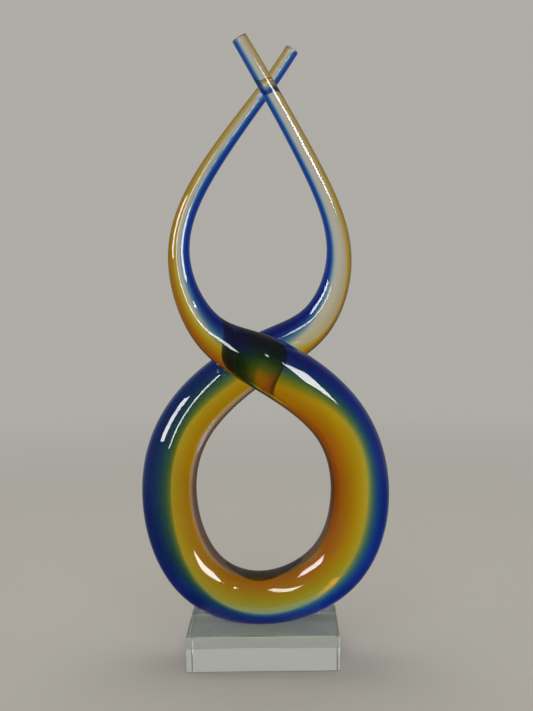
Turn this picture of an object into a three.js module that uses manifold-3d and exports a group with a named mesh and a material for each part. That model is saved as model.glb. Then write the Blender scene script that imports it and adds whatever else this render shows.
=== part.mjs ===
// A knot of glass on a clear block. One tapering rod holds cobalt along one side and amber along the other
// inside clear glass. It stands on the ground underside of a ring, crosses in front of itself at the waist,
// opens into a taller loop and crosses itself again just below its two tips.

import * as THREE from "three";
import { mergeVertices } from "three/addons/utils/BufferGeometryUtils.js";
import Module from "manifold-3d";

// Everything is in millimetres. +Z is up, -Y is the front, and the origin is the middle of the block's
// underside.

// Block
const blockWidth = 80;
const blockDepth = 52;
const blockHeight = 18.5;
const blockBevel = 0.6;

// Clear adhesive between the block and the flat that is ground on the ring's underside
const adhesiveThickness = 0.3;
const groundDepth = 2.2;

// The rod's centre line and thickness at each bend. Reach is the distance to the side of the block's
// middle, height is above the block, and forward and back are distances from its middle in depth.

// Foot of the ring, which stands on the block's middle
const footDiameter = 29;

// Right side of the ring, which comes down from the front of the waist
const rightShoulderReach = 41;
const rightShoulderHeight = 111;
const rightShoulderForward = 8.4;
const rightShoulderDiameter = 30;
const rightRingReach = 52.7;
const rightRingHeight = 69.4;
const rightRingForward = 3.6;
const rightRingDiameter = 31.3;
const rightHipReach = 39;
const rightHipHeight = 30.5;
const rightHipForward = 1.7;
const rightHipDiameter = 31.4;

// Left side of the ring, which goes up behind the waist
const leftHipReach = 35.1;
const leftHipHeight = 26.7;
const leftHipBack = 1.6;
const leftHipDiameter = 30.3;
const leftRingReach = 49.8;
const leftRingHeight = 70.9;
const leftRingBack = 4;
const leftRingDiameter = 29.6;
const leftShoulderReach = 36.8;
const leftShoulderHeight = 111.6;
const leftShoulderBack = 9;
const leftShoulderDiameter = 29;

// Waist, where the front strand passes in front of the rear one
const waistFrontX = 2.8;
const waistFrontHeight = 141.8;
const waistFrontDiameter = 28.6;
const waistRearX = 1.6;
const waistRearHeight = 142.7;
const waistRearDiameter = 25.7;

// Left arm, from the front of the waist up to the rear of the crown
const leftDipReach = 25.1;
const leftDipHeight = 158.5;
const leftDipForward = 12.2;
const leftDipDiameter = 19.1;
const leftLoopReach = 40.3;
const leftLoopHeight = 196.2;
const leftLoopForward = 8;
const leftLoopDiameter = 11.8;
const leftFlankReach = 26.9;
const leftFlankHeight = 238.6;
const leftFlankForward = 2.2;
const leftFlankDiameter = 9.9;
const leftTipX = 20.7;
const leftTipHeight = 304.9;
const leftTipDiameter = 7.5;

// Right arm, from behind the waist up to the front of the crown
const rightDipReach = 31;
const rightDipHeight = 161.3;
const rightDipBack = 11.9;
const rightDipDiameter = 19.1;
const rightLoopReach = 43.8;
const rightLoopHeight = 198.1;
const rightLoopBack = 8;
const rightLoopDiameter = 13.4;
const rightFlankReach = 29.5;
const rightFlankHeight = 242.9;
const rightFlankBack = 1.4;
const rightFlankDiameter = 10.5;
const rightTipReach = 6.9;
const rightTipHeight = 308.8;
const rightTipDiameter = 8.3;

// Crown, one point of the front view that both arms pass through below their tips
const crownX = 6.7;
const crownHeight = 285;
const crownFrontDiameter = 9.1;
const crownRearDiameter = 7.8;

// Clear air between the two strands where they cross, and how far each tip leans on in depth past that
const crossingGap = 0.8;
const tipSplay = 1.6;

// Rounding of the left arm's melted tip and of the right arm's cut one
const leftTipRound = 1.1;
const rightTipRound = 0.5;

// Colour inside the rod, in shares of the rod's radius: how far it reaches out from the middle of the rod
// and how far it spreads in depth
const colourReach = 0.66;
const colourSpread = 0.42;

// Where each colour starts, in shares of the rod's radius from its middle towards the colour's own side. A
// start below nothing lies past the middle.
const cobaltStartLeftArm = 0.12;
const amberStartLeftArm = 0.26;
const cobaltStartRightArm = 0.25;
const amberStartRightArm = 0.3;
const cobaltStartWaistFront = 0.12;
const amberStartWaistFront = 0.04;
const cobaltStartWaistRear = 0.1;
const amberStartWaistRear = 0.1;
const cobaltStartRightRing = 0.25;
const amberStartRightRing = -0.14;
const cobaltStartFoot = 0.35;
const amberStartFoot = -0.24;
const cobaltStartLeftRing = 0.05;
const amberStartLeftRing = 0.07;

// Gap round the colour in its channel, and how far the cutter of the channel runs past each tip
const colourClearance = 0.3;
const channelOverrun = 2;

// Fineness of the rod's surfaces
const ringSpacing = 7;
const rodSides = 24;
const colourSides = 8;
const roundingSteps = 3;
const lineDivisions = 1600;

// Half the distance in depth that keeps the two strands clear of each other at each crossing
const waistOffset = (waistFrontDiameter + waistRearDiameter) / 4 + crossingGap / 2;
const crownOffset = (crownFrontDiameter + crownRearDiameter) / 4 + crossingGap / 2;

// The rod's foot stands on the adhesive with its underside ground off.
const footHeight = adhesiveThickness + footDiameter / 2 - groundDepth;

// Stations of the rod's centre line, walked from the tip of the left arm down through the front of the
// waist, round the ring, and up behind the waist to the tip of the right arm
const station = (x, height, depth, diameter, colours) => {
  return { x, height, depth, diameter, ...colours };
};
const leftArm = { cobaltStart: cobaltStartLeftArm, amberStart: amberStartLeftArm };
const rightArm = { cobaltStart: cobaltStartRightArm, amberStart: amberStartRightArm };
const waistFront = { cobaltStart: cobaltStartWaistFront, amberStart: amberStartWaistFront };
const waistRear = { cobaltStart: cobaltStartWaistRear, amberStart: amberStartWaistRear };
const rightRing = { cobaltStart: cobaltStartRightRing, amberStart: amberStartRightRing };
const foot = { cobaltStart: cobaltStartFoot, amberStart: amberStartFoot };
const leftRing = { cobaltStart: cobaltStartLeftRing, amberStart: amberStartLeftRing };
const stations = [
  station(leftTipX, leftTipHeight, crownOffset + tipSplay, leftTipDiameter, leftArm),
  station(crownX, crownHeight, crownOffset, crownRearDiameter, leftArm),
  station(-leftFlankReach, leftFlankHeight, -leftFlankForward, leftFlankDiameter, leftArm),
  station(-leftLoopReach, leftLoopHeight, -leftLoopForward, leftLoopDiameter, leftArm),
  station(-leftDipReach, leftDipHeight, -leftDipForward, leftDipDiameter, leftArm),
  station(waistFrontX, waistFrontHeight, -waistOffset, waistFrontDiameter, waistFront),
  station(rightShoulderReach, rightShoulderHeight, -rightShoulderForward, rightShoulderDiameter, rightRing),
  station(rightRingReach, rightRingHeight, -rightRingForward, rightRingDiameter, rightRing),
  station(rightHipReach, rightHipHeight, -rightHipForward, rightHipDiameter, rightRing),
  station(0, footHeight, 0, footDiameter, foot),
  station(-leftHipReach, leftHipHeight, leftHipBack, leftHipDiameter, leftRing),
  station(-leftRingReach, leftRingHeight, leftRingBack, leftRingDiameter, leftRing),
  station(-leftShoulderReach, leftShoulderHeight, leftShoulderBack, leftShoulderDiameter, leftRing),
  station(waistRearX, waistRearHeight, waistOffset, waistRearDiameter, waistRear),
  station(rightDipReach, rightDipHeight, rightDipBack, rightDipDiameter, rightArm),
  station(rightLoopReach, rightLoopHeight, rightLoopBack, rightLoopDiameter, rightArm),
  station(rightFlankReach, rightFlankHeight, rightFlankBack, rightFlankDiameter, rightArm),
  station(crownX, crownHeight, -crownOffset, crownFrontDiameter, rightArm),
  station(-rightTipReach, rightTipHeight, -crownOffset - tipSplay, rightTipDiameter, rightArm),
];

// A natural cubic spline through values at rising knots, whose bend changes steadily between stations
class NaturalSpline {
  constructor(knots, values) {
    this.knots = knots;
    this.values = values;
    this.bends = new Array(knots.length).fill(0);
    const carry = [0];
    for (let i = 1; i < knots.length - 1; i++) {
      const before = knots[i] - knots[i - 1];
      const after = knots[i + 1] - knots[i];
      const turn = (values[i + 1] - values[i]) / after - (values[i] - values[i - 1]) / before;
      const pivot = 2 * (before + after) - before * carry[i - 1];
      carry[i] = after / pivot;
      this.bends[i] = (6 * turn - before * this.bends[i - 1]) / pivot;
    }
    for (let i = knots.length - 2; i > 0; i--) {
      this.bends[i] -= carry[i] * this.bends[i + 1];
    }
  }

  at(knot) {
    const { knots, values, bends } = this;
    let i = 0;
    while (i < knots.length - 2 && knot > knots[i + 1]) {
      i++;
    }
    const span = knots[i + 1] - knots[i];
    const b = (knot - knots[i]) / span;
    const a = 1 - b;
    const sag = ((a ** 3 - a) * bends[i] + (b ** 3 - b) * bends[i + 1]) * (span ** 2 / 6);
    return a * values[i] + b * values[i + 1] + sag;
  }
}

// The rod's centre line, which also knows the rod's diameter and colours. Its knots are spaced by the
// square roots of the distances between stations, so that short and long spans bend alike.
class RodLine extends THREE.Curve {
  constructor(list) {
    super();
    const points = list.map((s) => new THREE.Vector3(s.x, s.depth, blockHeight + s.height));
    const knots = [0];
    for (let i = 1; i < points.length; i++) {
      knots.push(knots[i - 1] + Math.sqrt(points[i].distanceTo(points[i - 1])));
    }
    this.lastKnot = knots[knots.length - 1];
    this.x = new NaturalSpline(knots, points.map((p) => p.x));
    this.y = new NaturalSpline(knots, points.map((p) => p.y));
    this.z = new NaturalSpline(knots, points.map((p) => p.z));
    this.diameter = new NaturalSpline(knots, list.map((s) => s.diameter));
    this.cobaltStart = new NaturalSpline(knots, list.map((s) => s.cobaltStart));
    this.amberStart = new NaturalSpline(knots, list.map((s) => s.amberStart));
    this.arcLengthDivisions = lineDivisions;
  }

  getPoint(t, target = new THREE.Vector3()) {
    const knot = t * this.lastKnot;
    return target.set(this.x.at(knot), this.y.at(knot), this.z.at(knot));
  }

  knotAt(distance) {
    return this.getUtoTmapping(distance / this.getLength()) * this.lastKnot;
  }

  radiusAt(distance) {
    return this.diameter.at(this.knotAt(distance)) / 2;
  }
}

// One cross-section of the rod: its centre, the two directions that span it, its radius, how far its edge
// is rounded in, and where the colours start. Side points to the cobalt, square to the line and the depth.
function sectionAt(line, distance, rounding) {
  const share = distance / line.getLength();
  const knot = line.knotAt(distance);
  const ahead = line.getTangentAt(share);
  const side = new THREE.Vector3().crossVectors(ahead, new THREE.Vector3(0, 1, 0)).normalize();
  const across = new THREE.Vector3().crossVectors(ahead, side);
  return {
    centre: line.getPointAt(share),
    side,
    across,
    radius: line.radiusAt(distance),
    rounding,
    cobaltStart: line.cobaltStart.at(knot),
    amberStart: line.amberStart.at(knot),
  };
}

// Sections along the whole rod: close ones on each rounded tip and evenly spaced ones between them.
function rodSections(line) {
  const length = line.getLength();
  const tipSections = (round, place) =>
    Array.from({ length: roundingSteps }, (_, step) => {
      const angle = (step / roundingSteps) * (Math.PI / 2);
      return sectionAt(line, place(round * (1 - Math.cos(angle))), round * (1 - Math.sin(angle)));
    });
  const start = tipSections(leftTipRound, (inset) => inset);
  const end = tipSections(rightTipRound, (inset) => length - inset).reverse();
  const run = length - leftTipRound - rightTipRound;
  const spans = Math.round(run / ringSpacing);
  const middle = Array.from({ length: spans + 1 }, (_, i) =>
    sectionAt(line, leftTipRound + (run * i) / spans, 0),
  );
  return [...start, ...middle, ...end];
}

// Outlines in a section's own plane, counter-clockwise, as points of side and across
function ellipseOutline(middle, halfWidth, halfHeight, sides) {
  return Array.from({ length: sides }, (_, i) => {
    const angle = (i / sides) * 2 * Math.PI;
    return new THREE.Vector2(middle + halfWidth * Math.cos(angle), halfHeight * Math.sin(angle));
  });
}

function rodOutline(section) {
  const radius = section.radius - section.rounding;
  return ellipseOutline(0, radius, radius, rodSides);
}

// The colour's outline on one side of the rod, 1 for cobalt and -1 for amber, grown all round by a clearance
function colourOutline(section, whichSide, start, growth) {
  const middle = (whichSide * section.radius * (colourReach + start)) / 2;
  const halfWidth = (section.radius * (colourReach - start)) / 2;
  const halfHeight = section.radius * colourSpread;
  return ellipseOutline(middle, halfWidth + growth, halfHeight + growth, colourSides);
}

function cobaltOutline(section, growth) {
  return colourOutline(section, 1, section.cobaltStart, growth);
}

function amberOutline(section, growth) {
  return colourOutline(section, -1, section.amberStart, growth);
}

// A closed solid with one outline in each section, and flat ends
function sweep(sections, outlineOf) {
  const outlines = sections.map(outlineOf);
  const sides = outlines[0].length;
  const positions = sections.flatMap((section, ring) =>
    outlines[ring].flatMap((point) =>
      section.centre
        .clone()
        .addScaledVector(section.side, point.x)
        .addScaledVector(section.across, point.y)
        .toArray(),
    ),
  );
  const faces = [];
  for (let ring = 0; ring + 1 < sections.length; ring++) {
    for (let i = 0; i < sides; i++) {
      const a = ring * sides + i;
      const b = ring * sides + ((i + 1) % sides);
      faces.push(a, b, b + sides, a, b + sides, a + sides);
    }
  }
  const last = (sections.length - 1) * sides;
  for (let i = 1; i + 1 < sides; i++) {
    faces.push(0, i + 1, i);
    faces.push(last, last + i, last + i + 1);
  }
  const geometry = new THREE.BufferGeometry();
  geometry.setAttribute("position", new THREE.Float32BufferAttribute(positions, 3));
  geometry.setIndex(faces);
  return geometry;
}

// Joins and cuts
const wasm = await Module();
wasm.setup();

function solidFrom(geometry) {
  const bare = new THREE.BufferGeometry();
  bare.setAttribute("position", geometry.getAttribute("position"));
  bare.setIndex(geometry.index);
  const merged = mergeVertices(bare, 1e-4);
  const vertProperties = new Float32Array(merged.getAttribute("position").array);
  return new wasm.Manifold(
    new wasm.Mesh({ numProp: 3, vertProperties, triVerts: new Uint32Array(merged.index.array) }),
  );
}

function geometryFrom(solid) {
  const mesh = solid.getMesh();
  const geometry = new THREE.BufferGeometry();
  geometry.setAttribute("position", new THREE.BufferAttribute(mesh.vertProperties, 3));
  geometry.setIndex(new THREE.BufferAttribute(mesh.triVerts, 1));
  return geometry;
}

// A slab as wide as the block between two heights
function slab(low, high) {
  const box = new THREE.BoxGeometry(2 * blockWidth, 2 * blockDepth, high - low);
  return solidFrom(box.translate(0, 0, (low + high) / 2));
}

// The block, with a polished bevel along every edge
function blockGeometry() {
  const x = blockWidth / 2 - blockBevel;
  const y = blockDepth / 2 - blockBevel;
  const cut = blockBevel;
  const outline = new THREE.Shape([
    new THREE.Vector2(x - cut, -y),
    new THREE.Vector2(x, -y + cut),
    new THREE.Vector2(x, y - cut),
    new THREE.Vector2(x - cut, y),
    new THREE.Vector2(-x + cut, y),
    new THREE.Vector2(-x, y - cut),
    new THREE.Vector2(-x, -y + cut),
    new THREE.Vector2(-x + cut, -y),
  ]);
  return new THREE.ExtrudeGeometry(outline, {
    depth: blockHeight - 2 * blockBevel,
    bevelEnabled: true,
    bevelThickness: blockBevel,
    bevelSize: blockBevel,
    bevelSegments: 1,
  }).translate(0, 0, blockBevel);
}

// The same sections with the first and last pushed out past the tips, for a channel that opens at both
function sectionsPastTips(sections) {
  const pushed = (section, ahead) => ({ ...section, centre: section.centre.clone().add(ahead) });
  const first = sections[0];
  const last = sections[sections.length - 1];
  const ahead = (section) => new THREE.Vector3().crossVectors(section.side, section.across);
  return [
    pushed(first, ahead(first).multiplyScalar(-channelOverrun)),
    ...sections.slice(1, -1),
    pushed(last, ahead(last).multiplyScalar(channelOverrun)),
  ];
}

// The clear casing of the rod, with a channel for each colour, ground flat where it stands
function casingGeometry(sections, flatHeight) {
  const channels = sectionsPastTips(sections);
  return geometryFrom(
    solidFrom(sweep(sections, rodOutline))
      .subtract(solidFrom(sweep(channels, (section) => cobaltOutline(section, colourClearance))))
      .subtract(solidFrom(sweep(channels, (section) => amberOutline(section, colourClearance))))
      .subtract(slab(0, flatHeight)),
  );
}

// The adhesive fills the foot's outline between the block and the flat.
function adhesiveGeometry(sections, flatHeight) {
  return geometryFrom(solidFrom(sweep(sections, rodOutline)).intersect(slab(blockHeight, flatHeight)));
}

// Least clear distance between any two stretches of the rod, on points a millimetre apart. Points count as
// neighbours on one stretch where the line between them is shorter than the rod is round at its foot.
function leastGap(line) {
  const length = line.getLength();
  const neighbourLength = Math.PI * footDiameter;
  const samples = Array.from({ length: Math.floor(length) }, (_, distance) => {
    return { distance, point: line.getPointAt(distance / length), radius: line.radiusAt(distance) };
  });
  let least = Infinity;
  for (const a of samples) {
    for (const b of samples) {
      if (b.distance - a.distance > neighbourLength) {
        least = Math.min(least, a.point.distanceTo(b.point) - a.radius - b.radius);
      }
    }
  }
  return least;
}

// Thinnest clear glass between the two channels
function leastWall(sections) {
  const between = ({ radius, cobaltStart, amberStart }) => radius * (cobaltStart + amberStart);
  return Math.min(...sections.map(between)) - 2 * colourClearance;
}

// Materials
const clearGlass = { roughness: 0.03, metalness: 0, transparent: true };
const materials = {
  casing: new THREE.MeshStandardMaterial({ ...clearGlass, color: 0xf2f5f4, opacity: 0.3 }),
  cobalt: new THREE.MeshStandardMaterial({ ...clearGlass, color: 0x0c3994, opacity: 0.85 }),
  amber: new THREE.MeshStandardMaterial({ ...clearGlass, color: 0xe39a00, opacity: 0.85 }),
  adhesive: new THREE.MeshStandardMaterial({ ...clearGlass, color: 0xffffff, opacity: 0.2 }),
  block: new THREE.MeshStandardMaterial({ ...clearGlass, color: 0xeef3ee, opacity: 0.3 }),
};

function addPiece(group, name, geometry, material) {
  geometry.computeVertexNormals();
  const mesh = new THREE.Mesh(geometry, material);
  mesh.name = name;
  group.add(mesh);
}

// Assembly
const line = new RodLine(stations);
const sections = rodSections(line);
const flatHeight = blockHeight + adhesiveThickness;
const cobalt = sweep(sections, (section) => cobaltOutline(section, 0));
const amber = sweep(sections, (section) => amberOutline(section, 0));

const sculpture = new THREE.Group();
addPiece(sculpture, "base_block", blockGeometry(), materials.block);
addPiece(sculpture, "adhesive_film", adhesiveGeometry(sections, flatHeight), materials.adhesive);
addPiece(sculpture, "clear_glass_casing", casingGeometry(sections, flatHeight), materials.casing);
addPiece(sculpture, "cobalt_strand", cobalt, materials.cobalt);
addPiece(sculpture, "amber_strand", amber, materials.amber);

const rodLength = line.getLength().toFixed(0);
console.log(`rod length ${rodLength} mm, least gap to itself ${leastGap(line).toFixed(2)} mm`);
console.log(`least wall between the channels ${leastWall(sections).toFixed(2)} mm`);

export default sculpture;
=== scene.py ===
import math

import bmesh
import bpy
from mathutils import Matrix, Vector


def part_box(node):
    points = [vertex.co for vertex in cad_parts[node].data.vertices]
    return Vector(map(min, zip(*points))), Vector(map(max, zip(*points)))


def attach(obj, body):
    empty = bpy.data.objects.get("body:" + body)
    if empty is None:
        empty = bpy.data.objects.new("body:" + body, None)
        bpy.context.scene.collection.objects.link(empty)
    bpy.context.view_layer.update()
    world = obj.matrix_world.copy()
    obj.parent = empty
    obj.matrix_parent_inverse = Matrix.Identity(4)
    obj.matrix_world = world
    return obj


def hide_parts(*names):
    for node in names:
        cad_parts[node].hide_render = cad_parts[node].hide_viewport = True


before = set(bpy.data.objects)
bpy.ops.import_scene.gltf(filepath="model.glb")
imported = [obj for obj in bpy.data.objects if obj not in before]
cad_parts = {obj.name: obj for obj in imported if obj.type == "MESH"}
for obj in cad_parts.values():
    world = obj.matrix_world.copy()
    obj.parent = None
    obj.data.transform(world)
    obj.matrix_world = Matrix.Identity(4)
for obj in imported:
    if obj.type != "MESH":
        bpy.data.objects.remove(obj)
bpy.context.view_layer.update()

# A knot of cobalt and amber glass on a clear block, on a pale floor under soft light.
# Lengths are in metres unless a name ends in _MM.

scene = bpy.context.scene
scene.view_settings.view_transform = "Standard"

# The photograph's frame in pixels and the camera that took it
IMAGE_HEIGHT = 711
FOCAL_LENGTH_PIXELS = 1068
CAMERA_PLACE = Vector((0.0135, -0.5659, 0.2108))
CAMERA_YAW = -0.0164
CAMERA_PITCH = 0.0847
CAMERA_ROLL = 0.0181
CAMERA_NEAREST = 0.01
SENSOR_MM = 36

MM = 0.001

# Stations of the rod's centre line, as in the solids: to the right of the block's middle, above the block,
# behind the block's middle, and the rod's diameter there
STATIONS_MM = [
    (20.7, 304.9, 6.225, 7.5),
    (6.7, 285, 4.625, 7.8),
    (-26.9, 238.6, -2.2, 9.9),
    (-40.3, 196.2, -8, 11.8),
    (-25.1, 158.5, -12.2, 19.1),
    (2.8, 141.8, -13.975, 28.6),
    (41, 111, -8.4, 30),
    (52.7, 69.4, -3.6, 31.3),
    (39, 30.5, -1.7, 31.4),
    (0, 12.6, 0, 29),
    (-35.1, 26.7, 1.6, 30.3),
    (-49.8, 70.9, 4, 29.6),
    (-36.8, 111.6, 9, 29),
    (1.6, 142.7, 13.975, 25.7),
    (31, 161.3, 11.9, 19.1),
    (43.8, 198.1, 8, 13.4),
    (29.5, 242.9, 1.4, 10.5),
    (6.7, 285, -4.625, 9.1),
    (-6.9, 308.8, -6.225, 8.3),
]

# Colour at the same stations, the cobalt and then the amber, in shares of the rod's radius: where the colour
# starts and where it ends on its way to its own edge, how far it spreads to the front and back, and how softly
# it thins out towards its start. Last comes how much painted shade darkens the skin there, from 0 to 1: it is
# high on the left of the ring and about the waist.
COLOUR_STATIONS = [
    (-0.02, 0.69, 0.5, 1.3, 0.1, 0.69, 0.14, 1.4, 0),
    (-0.02, 0.69, 0.5, 1.3, 0.1, 0.69, 0.14, 1.4, 0),
    (-0.04, 0.69, 0.5, 1.3, 0.05, 0.69, 0.2, 1.4, 0),
    (0.02, 0.69, 0.46, 1.4, 0.06, 0.69, 0.45, 1.4, 0),
    (-0.1, 0.69, 0.38, 1.6, 0.02, 0.69, 0.45, 1.4, 0.7),
    (-0.45, 0.69, 0.27, 1.9, -0.2, 0.69, 0.22, 1.4, 1),
    (0.1, 0.69, 0.2, 1.3, -0.42, 0.69, 0.28, 1.4, 0),
    (0.17, 0.69, 0.17, 1.2, -0.42, 0.69, 0.28, 1.4, 0),
    (0.24, 0.69, 0.17, 1.2, -0.48, 0.52, 0.25, 1.4, 0),
    (0.37, 0.69, 0.26, 1.1, -0.55, 0.48, 0.22, 1.6, 0.4),
    (0.1, 0.69, 0.19, 0.9, -0.7, 0.46, 0.17, 2.2, 0.8),
    (-0.08, 0.69, 0.15, 0.7, -0.75, 0.5, 0.155, 2.6, 1),
    (-0.08, 0.69, 0.15, 0.7, -0.75, 0.5, 0.155, 2.6, 1),
    (-0.25, 0.69, 0.24, 1.4, -0.25, 0.58, 0.13, 1.8, 1),
    (0.05, 0.69, 0.36, 1.4, 0.45, 0.69, 0.12, 1.4, 0.3),
    (0.25, 0.69, 0.4, 1.4, 0.3, 0.69, 0.14, 1.4, 0),
    (0.25, 0.69, 0.42, 1.4, 0.3, 0.69, 0.12, 1.4, 0),
    (0.2, 0.69, 0.42, 1.4, 0.3, 0.69, 0.1, 1.4, 0),
    (0.15, 0.69, 0.42, 1.4, 0.3, 0.69, 0.1, 1.4, 0),
]

# How far the thin inner ends of the colours pass in front of and behind each other, and how bluntly they end
# near their own edges
INNER_BOW = 0.25
BLUNTNESS = 0.12

# The radii that count as a thin arm and as the thick ring
THIN_RADIUS = 0.0039
THICK_RADIUS = 0.0149

# Rounding of the left arm's melted tip and of the right arm's cut one, and how far the colours stay inside
LEFT_TIP_ROUND = 0.0011
RIGHT_TIP_ROUND = 0.0005
TIP_INSET = 0.0009

# The fine surface stays this far inside the solid's box, and the film reaches this far into its neighbours so
# that no air shows between them
SURFACE_INSET = 0.0001
FILM_OVERLAP = 0.00005

# Rounding of the block's polished edges and of the edges that it stands on
BLOCK_ROUND = 0.0006
BLOCK_ROUND_STEPS = 3
BLOCK_CRISP = 0.0001

# How finely the rod is divided along its line, on its rounded tips, round its skin and round its strands
LINE_DIVISIONS = 3000
RING_SPACING = 0.0015
TIP_STEPS = 6
ROD_SIDES = 72
STRAND_STEPS = 14

# Edges sharper than this aren't smoothed
SHARP_DEGREES = 35


# The rod's line
class NaturalSpline:
    """A natural cubic spline through values at rising knots."""

    def __init__(self, knots, values):
        self.knots = knots
        self.values = values
        self.bends = [0.0] * len(knots)
        carry = [0.0]
        for i in range(1, len(knots) - 1):
            before = knots[i] - knots[i - 1]
            after = knots[i + 1] - knots[i]
            turn = (values[i + 1] - values[i]) / after - (values[i] - values[i - 1]) / before
            pivot = 2 * (before + after) - before * carry[i - 1]
            carry.append(after / pivot)
            self.bends[i] = (6 * turn - before * self.bends[i - 1]) / pivot
        for i in range(len(knots) - 2, 0, -1):
            self.bends[i] -= carry[i] * self.bends[i + 1]

    def at(self, knot):
        i = 0
        while i < len(self.knots) - 2 and knot > self.knots[i + 1]:
            i += 1
        span = self.knots[i + 1] - self.knots[i]
        b = (knot - self.knots[i]) / span
        a = 1 - b
        sag = (a**3 - a) * self.bends[i] + (b**3 - b) * self.bends[i + 1]
        return a * self.values[i] + b * self.values[i + 1] + sag * span**2 / 6


class Rod:
    """The rod's centre line by distance from the left arm's tip, with the size and colour that go with it."""

    def __init__(self, block_top):
        points = [Vector((x, depth, height)) for x, height, depth, _ in STATIONS_MM]
        # Knots lie apart by the root of each distance, so that close stations don't kink the line
        knots = [0.0]
        for previous, point in zip(points, points[1:]):
            knots.append(knots[-1] + math.sqrt((point - previous).length))
        places = [point * MM + Vector((0, 0, block_top)) for point in points]
        self.place = [NaturalSpline(knots, [p[axis] for p in places]) for axis in range(3)]
        self.radius = NaturalSpline(knots, [diameter / 2 * MM for *_, diameter in STATIONS_MM])
        self.colour = [NaturalSpline(knots, column) for column in zip(*COLOUR_STATIONS)]
        self.knots = [knots[-1] * i / LINE_DIVISIONS for i in range(LINE_DIVISIONS + 1)]
        self.distances = [0.0]
        samples = [self.point(knot) for knot in self.knots]
        for previous, sample in zip(samples, samples[1:]):
            self.distances.append(self.distances[-1] + (sample - previous).length)
        self.length = self.distances[-1]

    def point(self, knot):
        return Vector([spline.at(knot) for spline in self.place])

    def knot_at(self, distance):
        low, high = 0, LINE_DIVISIONS
        while high - low > 1:
            middle = (low + high) // 2
            if self.distances[middle] <= distance:
                low = middle
            else:
                high = middle
        share = (distance - self.distances[low]) / (self.distances[high] - self.distances[low])
        return self.knots[low] + share * (self.knots[high] - self.knots[low])

    def section(self, distance, rounding=0.0):
        knot = self.knot_at(distance)
        step = self.knots[1]
        ahead = (self.point(knot + step) - self.point(knot - step)).normalized()
        side = ahead.cross(Vector((0, 1, 0))).normalized()
        return Section(self, knot, side, ahead.cross(side), rounding)

    def sections(self, first, last, spacing, first_round=0.0, last_round=0.0):
        """Sections from one distance to another: close ones on each rounded tip, even ones between them."""
        angles = [math.pi / 2 * step / TIP_STEPS for step in range(TIP_STEPS)]
        start = [
            self.section(first + first_round * (1 - math.cos(a)), first_round * (1 - math.sin(a)))
            for a in angles
        ]
        end = [
            self.section(last - last_round * (1 - math.cos(a)), last_round * (1 - math.sin(a)))
            for a in reversed(angles)
        ]
        low = first + first_round
        run = last - last_round - low
        spans = round(run / spacing)
        middle = [self.section(low + run * i / spans) for i in range(spans + 1)]
        return start + middle + end


class Section:
    """One cross-section of the rod. Side points to the cobalt, square to the line and to the depth."""

    def __init__(self, rod, knot, side, across, rounding):
        self.centre = rod.point(knot)
        self.side = side
        self.across = across
        self.rounding = rounding
        self.radius = rod.radius.at(knot)
        colour = [spline.at(knot) for spline in rod.colour]
        self.cobalt = colour[:4]
        self.amber = colour[4:8]
        # How much painted shade darkens the skin here
        self.painted_shade = min(max(colour[8], 0), 1)
        thickness = (self.radius - THIN_RADIUS) / (THICK_RADIUS - THIN_RADIUS)
        self.thickness = min(max(thickness, 0), 1)

    def place(self, along_side, along_across):
        return self.centre + self.side * along_side + self.across * along_across


# Outlines in a section's own plane, counter-clockwise
def angles_round(sides):
    """Angles of evenly spaced points round a circle."""
    return [2 * math.pi * i / sides for i in range(sides)]


def casing_outline(section):
    radius = section.radius - SURFACE_INSET - section.rounding
    return [(radius * math.cos(a), radius * math.sin(a)) for a in angles_round(ROD_SIDES)]


def strand_outline(section, start, reach, spread, softness, which_side):
    """A drop lying on its side: it thins out softly towards the rod's middle and is blunt near its edge."""
    peak = softness / (softness + BLUNTNESS)
    tallest = peak**softness * (1 - peak) ** BLUNTNESS
    upper, lower = [], []
    for step in range(STRAND_STEPS + 1):
        share = (1 - math.cos(math.pi * step / STRAND_STEPS)) / 2
        height = spread * share**softness * (1 - share) ** BLUNTNESS / tallest
        along = which_side * (start + (reach - start) * share)
        bow = which_side * INNER_BOW * (1 - share) ** 2
        upper.append((along, bow - which_side * height))
        lower.append((along, bow + which_side * height))
    outline = upper + lower[-2:0:-1]
    return [(section.radius * x, section.radius * y) for x, y in outline]


def cobalt_outline(section):
    return strand_outline(section, *section.cobalt, 1)


def amber_outline(section):
    return strand_outline(section, *section.amber, -1)


# Meshes
def new_object(name, mesh, material):
    piece = bpy.data.objects.new(name, mesh)
    scene.collection.objects.link(piece)
    mesh.materials.append(material)
    return piece


def sweep_mesh(name, sections, outline):
    """A closed mesh with one outline in each section, and flat ends."""
    rings = [[tuple(s.place(x, y)) for x, y in outline(s)] for s in sections]
    sides = len(rings[0])
    vertices = [point for ring in rings for point in ring]
    faces = []
    for ring in range(len(rings) - 1):
        for i in range(sides):
            a = ring * sides + i
            b = ring * sides + (i + 1) % sides
            faces.append((a, b, b + sides, a + sides))
    last = (len(rings) - 1) * sides
    faces.append(tuple(reversed(range(sides))))
    faces.append(tuple(range(last, last + sides)))
    mesh = bpy.data.meshes.new(name)
    mesh.from_pydata(vertices, [], faces)
    return mesh


def store_places(mesh, sections):
    """Keeps with each skin point how far it lies to the cobalt's side, its thickness and its painted shade."""
    angles = angles_round(ROD_SIDES)
    for name, values in (
        ("side", [math.cos(a) for s in sections for a in angles]),
        ("thickness", [s.thickness for s in sections for a in angles]),
        ("painted_shade", [s.painted_shade for s in sections for a in angles]),
    ):
        mesh.attributes.new(name, "FLOAT", "POINT").data.foreach_set("value", values)


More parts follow.
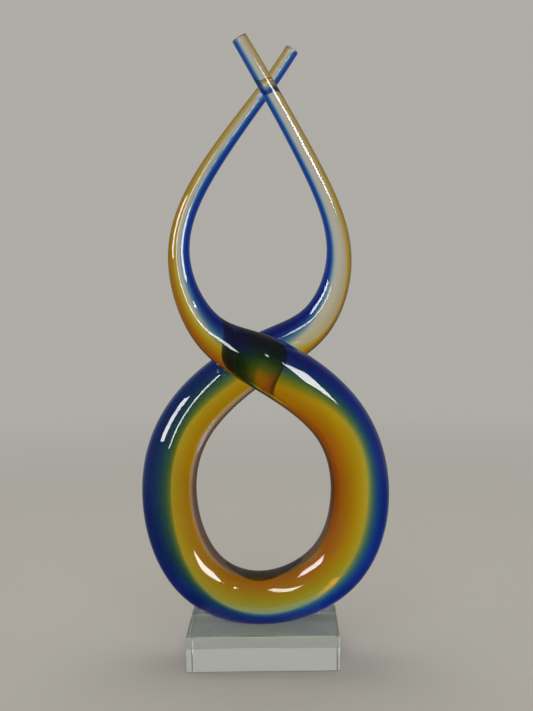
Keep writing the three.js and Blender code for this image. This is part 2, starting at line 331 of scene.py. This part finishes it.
def cut_level(mesh, height, keep_above):
    """Cuts a closed mesh at a height, keeps one side of it and closes the cut."""
    bm = bmesh.new()
    bm.from_mesh(mesh)
    geometry = bm.verts[:] + bm.edges[:] + bm.faces[:]
    normal = (0, 0, -1) if keep_above else (0, 0, 1)
    bmesh.ops.bisect_plane(bm, geom=geometry, plane_co=(0, 0, height), plane_no=normal, clear_outer=True)
    rim = [edge for edge in bm.edges if edge.is_boundary]
    bmesh.ops.edgeloop_fill(bm, edges=rim)
    bmesh.ops.recalc_face_normals(bm, faces=bm.faces)
    bm.to_mesh(mesh)
    bm.free()


def bevel(bm, edges, width, steps):
    bmesh.ops.bevel(
        bm, geom=edges, affect="EDGES", offset=width, offset_type="OFFSET", segments=steps, profile=0.5
    )


def block_mesh(low, high):
    """A polished block, rounded at its upright and upper edges and crisp at the edges that it stands on."""
    bm = bmesh.new()
    outline = ((low.x, low.y), (high.x, low.y), (high.x, high.y), (low.x, high.y))
    under = [bm.verts.new((x, y, low.z)) for x, y in outline]
    over = [bm.verts.new((x, y, high.z)) for x, y in outline]
    bm.faces.new(reversed(under))
    bm.faces.new(over)
    for i in range(len(outline)):
        j = (i + 1) % len(outline)
        bm.faces.new((under[i], under[j], over[j], over[i]))
    upper = [edge for edge in bm.edges if max(v.co.z for v in edge.verts) > low.z]
    bevel(bm, upper, BLOCK_ROUND, BLOCK_ROUND_STEPS)
    standing = [edge for edge in bm.edges if max(v.co.z for v in edge.verts) < low.z + BLOCK_CRISP / 2]
    bevel(bm, standing, BLOCK_CRISP, 1)
    mesh = bpy.data.meshes.new("crystal_block")
    bm.to_mesh(mesh)
    bm.free()
    return mesh


def smooth(mesh):
    mesh.shade_smooth()
    mesh.set_sharp_from_angle(angle=math.radians(SHARP_DEGREES))


# Materials

# Colours of the rod's skin, from -1 at the amber edge to 1 at the cobalt edge: on the ring, where the colours
# are deepest, and on the thin arms. On the ring the stops from -0.9 to -1 are painted shade, a near-black rim
# along the amber edge.
SKIN_RING = [
    (-1.0, (0.04, 0.01, 0.005)),
    (-0.9, (0.12, 0.04, 0.02)),
    (-0.85, (0.55, 0.2, 0.09)),
    (-0.76, (0.87, 0.4, 0.15)),
    (-0.66, (0.95, 0.75, 0.28)),
    (-0.12, (0.98, 0.94, 0.6)),
    (0.15, (0.97, 0.95, 0.8)),
    (0.4, (0.45, 0.75, 0.85)),
    (0.65, (0.06, 0.42, 0.8)),
    (1.0, (0.02, 0.14, 0.7)),
]
# Painted shade: the ring's skin darkened all across, with the same painted near-black rim at the amber edge.
SKIN_PAINTED_SHADE = [
    (-1.0, (0.04, 0.01, 0.005)),
    (-0.9, (0.12, 0.04, 0.02)),
    (-0.85, (0.5, 0.2, 0.1)),
    (-0.76, (0.85, 0.42, 0.18)),
    (-0.66, (0.87, 0.74, 0.2)),
    (-0.15, (0.88, 0.83, 0.52)),
    (0.15, (0.82, 0.76, 0.66)),
    (0.4, (0.4, 0.5, 0.55)),
    (0.65, (0.06, 0.24, 0.36)),
    (1.0, (0.02, 0.08, 0.4)),
]
SKIN_ARM = [
    (-1.0, (0.62, 0.4, 0.14)),
    (-0.8, (0.68, 0.42, 0.13)),
    (-0.5, (0.77, 0.6, 0.33)),
    (-0.2, (0.88, 0.82, 0.67)),
    (0.12, (0.9, 0.91, 0.87)),
    (0.4, (0.6, 0.78, 0.93)),
    (0.65, (0.12, 0.36, 0.86)),
    (1.0, (0.02, 0.09, 0.8)),
]

# How much the glass and the adhesive bend light, and how little the strands inside the glass do
GLASS_BENDING = 1.5
NO_BENDING = 1.0
POLISHED = 0.0

BLOCK_TINT = (0.92, 0.985, 0.96, 1)
NO_TINT = (1, 1, 1, 1)

# Light that is left of red, green and blue in the strands' glass, and how strongly the rest is absorbed
COBALT_COLOUR = (0.0, 0.48, 0.89, 1)
COBALT_DENSITY = 1150
AMBER_COLOUR = (0.97, 0.885, 0.0, 1)
AMBER_DENSITY = 1400


def new_material(name):
    material = bpy.data.materials.new(name)
    material.use_nodes = True
    return material, material.node_tree, material.node_tree.nodes["Principled BSDF"]


def new_glass(name, bending):
    material, tree, shader = new_material(name)
    shader.inputs["Transmission Weight"].default_value = 1
    shader.inputs["IOR"].default_value = bending
    shader.inputs["Roughness"].default_value = POLISHED
    return material, tree, shader


def attribute(tree, name):
    node = tree.nodes.new("ShaderNodeAttribute")
    node.attribute_name = name
    return node.outputs["Fac"]


def colour_ramp(tree, place, stops):
    """The colour at a place on the rod's skin, which runs from 0 at the amber edge to 1 at the cobalt edge."""
    ramp = tree.nodes.new("ShaderNodeValToRGB")
    elements = ramp.color_ramp.elements
    while len(elements) < len(stops):
        elements.new(0.5)
    for element, (side, colour) in zip(elements, stops):
        element.position = (side + 1) / 2
        element.color = (*colour, 1)
    tree.links.new(place, ramp.inputs["Fac"])
    return ramp.outputs["Color"]


def colour_mix(tree, share):
    mix = tree.nodes.new("ShaderNodeMix")
    mix.data_type = "RGBA"
    tree.links.new(share, mix.inputs["Factor"])
    return mix


def clear_glass():
    """Clear glass whose skin takes a breath of the colour under it, darkened in places by painted shade."""
    material, tree, shader = new_glass("clear_glass", GLASS_BENDING)
    side_to_share = tree.nodes.new("ShaderNodeMapRange")
    side_to_share.inputs["From Min"].default_value = -1
    tree.links.new(attribute(tree, "side"), side_to_share.inputs["Value"])
    place = side_to_share.outputs["Result"]
    skin = colour_ramp(tree, place, SKIN_ARM)
    # Over the arm's colours go the ring's, then the ring's colours darkened by painted shade
    for share, stops in (("thickness", SKIN_RING), ("painted_shade", SKIN_PAINTED_SHADE)):
        mix = colour_mix(tree, attribute(tree, share))
        tree.links.new(skin, mix.inputs["A"])
        tree.links.new(colour_ramp(tree, place, stops), mix.inputs["B"])
        skin = mix.outputs["Result"]
    tree.links.new(skin, shader.inputs["Base Color"])
    return material


def coloured_glass(name, colour, density):
    """Colour inside the clear glass. It bends no light, because both are one melt."""
    material, tree, shader = new_glass(name, NO_BENDING)
    shader.inputs["Base Color"].default_value = NO_TINT
    absorption = tree.nodes.new("ShaderNodeVolumeAbsorption")
    absorption.inputs["Color"].default_value = colour
    absorption.inputs["Density"].default_value = density
    tree.links.new(absorption.outputs["Volume"], tree.nodes["Material Output"].inputs["Volume"])
    return material


def block_glass():
    material, _, shader = new_glass("block_glass", GLASS_BENDING)
    shader.inputs["Base Color"].default_value = BLOCK_TINT
    return material


def adhesive():
    return new_glass("clear_adhesive", GLASS_BENDING)[0]


# Stage and light

# The one colour of the paper floor and of the room round it, and how dark the glass mirrors each
STAGE_COLOUR = (0.43, 0.415, 0.385, 1)
PAPER_MIRRORED = (0.08, 0.08, 0.075, 1)
ROOM_MIRRORED = (0.17, 0.17, 0.18, 1)
PAPER_ROUGHNESS = 0.85
PAPER_GLOSS = 0.1

# The floor lies this far below the block, so that air stays under the glass
FLOOR_DROP = 0.0003
FLOOR_RADIUS = 9
FLOOR_SIDES = 64

# The paper starts to fade at the first distance and is all room at the second
PAPER_RADIUS = 0.25
ROOM_RADIUS = 1.0

# Lamps face the object's middle: degrees to the right of the front and above it, distance, width, height and
# brightness. The first ones show only in the glass, as highlights, and the others light only the floor.
LIT_POINT = Vector((0, 0, 0.14))
HIGHLIGHTS = (
    ("right_window", 38, 20, 1.0, 0.36, 0.4, 17),
    ("spot", 15, 35, 1.0, 0.05, 0.05, 70),
    ("left_window", -65, 28, 1.0, 0.3, 0.42, 16),
    ("left_strip", -23, 25, 1.0, 0.1, 0.6, 14),
)
SOFTBOXES = (
    ("overhead", 180, 75, 1.1, 1.2, 0.9, 2.2),
    ("front_softbox", 0, 40, 2.0, 1.6, 1.2, 1.9),
)

# How often light may bounce in all, pass through glass and pass straight through
LIGHT_BOUNCES = 40
GLASS_BOUNCES = 36
STRAIGHT_BOUNCES = 24


def mirrored_darker(tree, seen, mirrored):
    """One colour for all rays but those that a surface mirrors, and another for those."""
    rays = tree.nodes.new("ShaderNodeLightPath")
    is_mirrored = tree.nodes.new("ShaderNodeMath")
    is_mirrored.operation = "MULTIPLY"
    tree.links.new(rays.outputs["Is Glossy Ray"], is_mirrored.inputs[0])
    tree.links.new(rays.outputs["Is Reflection Ray"], is_mirrored.inputs[1])
    mix = colour_mix(tree, is_mirrored.outputs["Value"])
    mix.inputs["A"].default_value = seen
    mix.inputs["B"].default_value = mirrored
    return mix.outputs["Result"]


def stage_material():
    """Pale paper that fades into the room around it. Both stay dark in what the glass mirrors of them."""
    material, tree, shader = new_material("pale_paper")
    shader.inputs["Roughness"].default_value = PAPER_ROUGHNESS
    shader.inputs["Specular IOR Level"].default_value = PAPER_GLOSS
    tree.links.new(mirrored_darker(tree, STAGE_COLOUR, PAPER_MIRRORED), shader.inputs["Base Color"])
    room = tree.nodes.new("ShaderNodeEmission")
    tree.links.new(mirrored_darker(tree, STAGE_COLOUR, ROOM_MIRRORED), room.inputs["Color"])
    coordinates = tree.nodes.new("ShaderNodeTexCoord")
    distance = tree.nodes.new("ShaderNodeVectorMath")
    distance.operation = "LENGTH"
    fade = tree.nodes.new("ShaderNodeMapRange")
    fade.interpolation_type = "SMOOTHSTEP"
    fade.inputs["From Min"].default_value = PAPER_RADIUS
    fade.inputs["From Max"].default_value = ROOM_RADIUS
    blend = tree.nodes.new("ShaderNodeMixShader")
    tree.links.new(coordinates.outputs["Object"], distance.inputs[0])
    tree.links.new(distance.outputs["Value"], fade.inputs["Value"])
    tree.links.new(fade.outputs["Result"], blend.inputs["Fac"])
    tree.links.new(shader.outputs["BSDF"], blend.inputs[1])
    tree.links.new(room.outputs["Emission"], blend.inputs[2])
    tree.links.new(blend.outputs["Shader"], tree.nodes["Material Output"].inputs["Surface"])
    return material


def add_stage():
    """A round pale floor, so wide that its edge is never seen."""
    angles = angles_round(FLOOR_SIDES)
    rim = [(FLOOR_RADIUS * math.cos(a), FLOOR_RADIUS * math.sin(a), -FLOOR_DROP) for a in angles]
    mesh = bpy.data.meshes.new("paper_floor")
    mesh.from_pydata(rim, [], [tuple(range(FLOOR_SIDES))])
    new_object("paper_floor", mesh, stage_material())


def add_lamp(name, azimuth, elevation, distance, width, height, brightness):
    """A flat lamp that faces the object's middle and looks equally bright from any distance."""
    turn, lift = math.radians(azimuth), math.radians(elevation)
    away = Vector((math.sin(turn) * math.cos(lift), -math.cos(turn) * math.cos(lift), math.sin(lift)))
    light = bpy.data.lights.new(name, "AREA")
    light.shape = "RECTANGLE"
    light.size = width
    light.size_y = height
    light.energy = brightness * math.pi * width * height
    lamp = bpy.data.objects.new(name, light)
    lamp.location = LIT_POINT + away * distance
    lamp.rotation_euler = (-away).to_track_quat("-Z", "Y").to_euler()
    scene.collection.objects.link(lamp)
    return lamp


def add_light():
    world = bpy.data.worlds.new("soft_room")
    world.use_nodes = True
    tree = world.node_tree
    room = mirrored_darker(tree, STAGE_COLOUR, ROOM_MIRRORED)
    tree.links.new(room, tree.nodes["Background"].inputs["Color"])
    scene.world = world
    for row in HIGHLIGHTS:
        lamp = add_lamp(*row)
        lamp.visible_diffuse = False
    for row in SOFTBOXES:
        lamp = add_lamp(*row)
        lamp.visible_glossy = False
        lamp.visible_transmission = False


def add_camera():
    ahead = Vector((math.sin(CAMERA_YAW), math.cos(CAMERA_YAW), 0))
    forward = ahead * math.cos(CAMERA_PITCH) - Vector((0, 0, math.sin(CAMERA_PITCH)))
    level = Vector((math.cos(CAMERA_YAW), -math.sin(CAMERA_YAW), 0))
    down = forward.cross(level)
    right = level * math.cos(CAMERA_ROLL) + down * math.sin(CAMERA_ROLL)
    up = level * math.sin(CAMERA_ROLL) - down * math.cos(CAMERA_ROLL)
    camera = bpy.data.cameras.new("camera")
    camera.sensor_width = SENSOR_MM
    camera.sensor_fit = "AUTO"
    camera.lens = FOCAL_LENGTH_PIXELS / IMAGE_HEIGHT * SENSOR_MM
    camera.clip_start = CAMERA_NEAREST
    holder = bpy.data.objects.new("camera", camera)
    axes = Matrix((right, up, -forward)).transposed()
    holder.matrix_world = Matrix.Translation(CAMERA_PLACE) @ axes.to_4x4()
    scene.collection.objects.link(holder)
    scene.camera = holder


# Pieces of the object
def add_casing(sections, flat_height):
    """The clear glass round the strands, ground flat where it is glued."""
    mesh = sweep_mesh("clear_casing", sections, casing_outline)
    store_places(mesh, sections)
    cut_level(mesh, flat_height, keep_above=True)
    smooth(mesh)
    casing = new_object("clear_casing", mesh, clear_glass())
    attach(casing, "root")
    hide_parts("clear_glass_casing")


def add_film(sections, flat_height, block_top):
    """The clear adhesive, which fills the rod's shape between the block and the flat."""
    mesh = sweep_mesh("adhesive_bond", sections, casing_outline)
    cut_level(mesh, flat_height + FILM_OVERLAP, keep_above=False)
    cut_level(mesh, block_top - FILM_OVERLAP, keep_above=True)
    smooth(mesh)
    film = new_object("adhesive_bond", mesh, adhesive())
    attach(film, "root")
    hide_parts("adhesive_film")


def add_strand(name, sections, outline, glass, node):
    mesh = sweep_mesh(name, sections, outline)
    smooth(mesh)
    strand = new_object(name, mesh, glass)
    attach(strand, "root")
    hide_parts(node)


def add_block():
    crystal = new_object("crystal_block", block_mesh(*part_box("base_block")), block_glass())
    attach(crystal, "root")
    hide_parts("base_block")


add_camera()
add_stage()
add_light()
scene.cycles.max_bounces = LIGHT_BOUNCES
scene.cycles.transmission_bounces = GLASS_BOUNCES
scene.cycles.transparent_max_bounces = STRAIGHT_BOUNCES

block_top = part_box("base_block")[1].z
flat_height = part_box("adhesive_film")[1].z
rod = Rod(block_top)
skin_sections = rod.sections(0, rod.length, RING_SPACING, LEFT_TIP_ROUND, RIGHT_TIP_ROUND)
strand_sections = rod.sections(TIP_INSET, rod.length - TIP_INSET, RING_SPACING)
cobalt = coloured_glass("cobalt_glass", COBALT_COLOUR, COBALT_DENSITY)
amber = coloured_glass("amber_glass", AMBER_COLOUR, AMBER_DENSITY)

add_casing(skin_sections, flat_height)
add_film(skin_sections, flat_height, block_top)
add_strand("cobalt_core", strand_sections, cobalt_outline, cobalt, "cobalt_strand")
add_strand("amber_core", strand_sections, amber_outline, amber, "amber_strand")
add_block()
